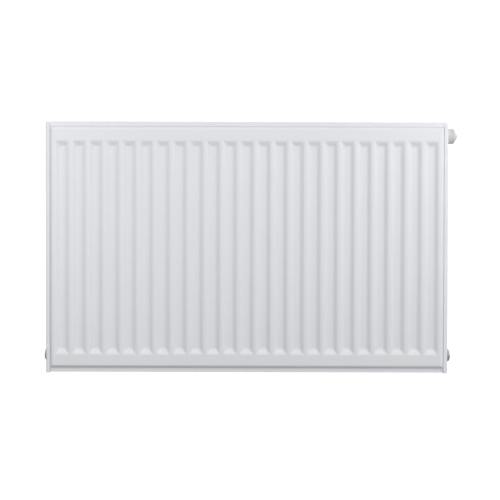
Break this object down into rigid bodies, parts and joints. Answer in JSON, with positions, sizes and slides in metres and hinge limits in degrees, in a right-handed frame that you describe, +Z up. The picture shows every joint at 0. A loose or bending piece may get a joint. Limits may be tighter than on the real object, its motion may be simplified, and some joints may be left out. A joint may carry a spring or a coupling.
{
  "type": "panel radiator with valve",
  "caption": "White steel panel radiator with a profiled front, slotted top grille, side covers, built-in valve under a screw cap, air vent and bottom connections.",
  "frame": {"origin": "on the wall-bracket plane, which the backs of the hanging lugs touch, at mid-width and at the height of the bottom edge", "axes": "+X to the right as the front is looked at, +Y into the wall, +Z up; the front faces -Y"},
  "size_m": [0.8375, 0.111, 0.5],
  "materials": {
    "white_powder_coat": "smooth white powder coat, satin to semi-gloss",
    "nickel_plated_brass": "nickel plated, turned",
    "brass": "bare, turned",
    "spring_steel": "bare spring steel, drawn wire and thin strip",
    "black_rubber": "matte black",
    "grey_plastic": "light grey moulded plastic",
    "white_plastic": "white moulded plastic"
  },
  "bodies": {
    "radiator": {"front_panel_outer_sheet": "white_powder_coat", "front_panel_inner_sheet": "white_powder_coat", "rear_panel_inner_sheet": "white_powder_coat", "rear_panel_outer_sheet": "white_powder_coat", "corner_tee_top_left": "white_powder_coat", "corner_tee_bottom_left": "white_powder_coat", "connection_block": "white_powder_coat", "valve_housing": "white_powder_coat", "riser_pipe": "white_powder_coat", "front_convector": "white_powder_coat", "rear_convector": "white_powder_coat", "hanging_lug_bottom_left": "white_powder_coat", "hanging_lug_bottom_right": "white_powder_coat", "hanging_lug_top_left": "white_powder_coat", "hanging_lug_top_right": "white_powder_coat", "cover_clip_front_bottom_left": "spring_steel", "cover_clip_front_bottom_right": "spring_steel", "cover_clip_front_top_left": "spring_steel", "cover_clip_front_top_right": "spring_steel", "grille_clip_front_left": "spring_steel", "grille_clip_front_right": "spring_steel", "cover_clip_rear_bottom_left": "spring_steel", "cover_clip_rear_bottom_right": "spring_steel", "cover_clip_rear_top_left": "spring_steel", "cover_clip_rear_top_right": "spring_steel", "grille_clip_rear_left": "spring_steel", "grille_clip_rear_right": "spring_steel", "valve_insert_body": "nickel_plated_brass", "valve_gland_nut": "nickel_plated_brass", "valve_spring": "spring_steel", "valve_o_ring": "black_rubber", "blanking_plug_left": "nickel_plated_brass", "blanking_plug_right": "nickel_plated_brass", "plug_o_ring_left": "black_rubber", "plug_o_ring_right": "black_rubber", "vent_plug_body": "nickel_plated_brass", "vent_o_ring": "black_rubber"},
    "presetting_ring": {"presetting_ring": "grey_plastic"},
    "valve_pin": {"valve_pin": "nickel_plated_brass", "valve_disc": "black_rubber"},
    "valve_cap": {"valve_cap": "grey_plastic"},
    "vent_outlet": {"vent_outlet_ring": "white_plastic"},
    "bleed_screw": {"vent_bleed_screw": "brass"},
    "top_grille": {"top_grille": "white_powder_coat"},
    "side_cover_left": {"side_cover_left": "white_powder_coat"},
    "side_cover_right": {"side_cover_right": "white_powder_coat"}
  },
  "joints": [
    {"name": "pin_travel", "type": "slide", "parent": "radiator", "child": "valve_pin", "axis": [1, 0, 0], "range_m": [0, 0.0025], "deforming": ["valve_spring"]},
    {"name": "cap_turn", "type": "hinge", "parent": "valve_pin", "child": "valve_cap", "pos_m": [0.413, -0.06, 0.4745], "axis": [1, 0, 0], "range_deg": [0, 600]},
    {"name": "presetting_turn", "type": "hinge", "parent": "radiator", "child": "presetting_ring", "pos_m": [0.4138, -0.06, 0.4745], "axis": [1, 0, 0], "range_deg": [0, 270]},
    {"name": "outlet_swivel", "type": "hinge", "parent": "radiator", "child": "vent_outlet", "pos_m": [-0.3998, -0.06, 0.4745], "axis": [-1, 0, 0], "continuous": true},
    {"name": "bleed_turn", "type": "hinge", "parent": "radiator", "child": "bleed_screw", "pos_m": [-0.3965, -0.06, 0.4745], "axis": [-1, 0, 0], "range_deg": [0, 360]},
    {"name": "grille_lift", "type": "slide", "parent": "radiator", "child": "top_grille", "axis": [0, 0, 1], "range_m": [0, 0.06]},
    {"name": "cover_left_pull", "type": "slide", "parent": "radiator", "child": "side_cover_left", "axis": [-1, 0, 0], "range_m": [0, 0.06]},
    {"name": "cover_right_pull", "type": "slide", "parent": "radiator", "child": "side_cover_right", "axis": [1, 0, 0], "range_m": [0, 0.06]}
  ],
  "couplings": [
    {"joint": "pin_travel", "follows": "cap_turn", "m_per_rad": 0.00023873}
  ]
}
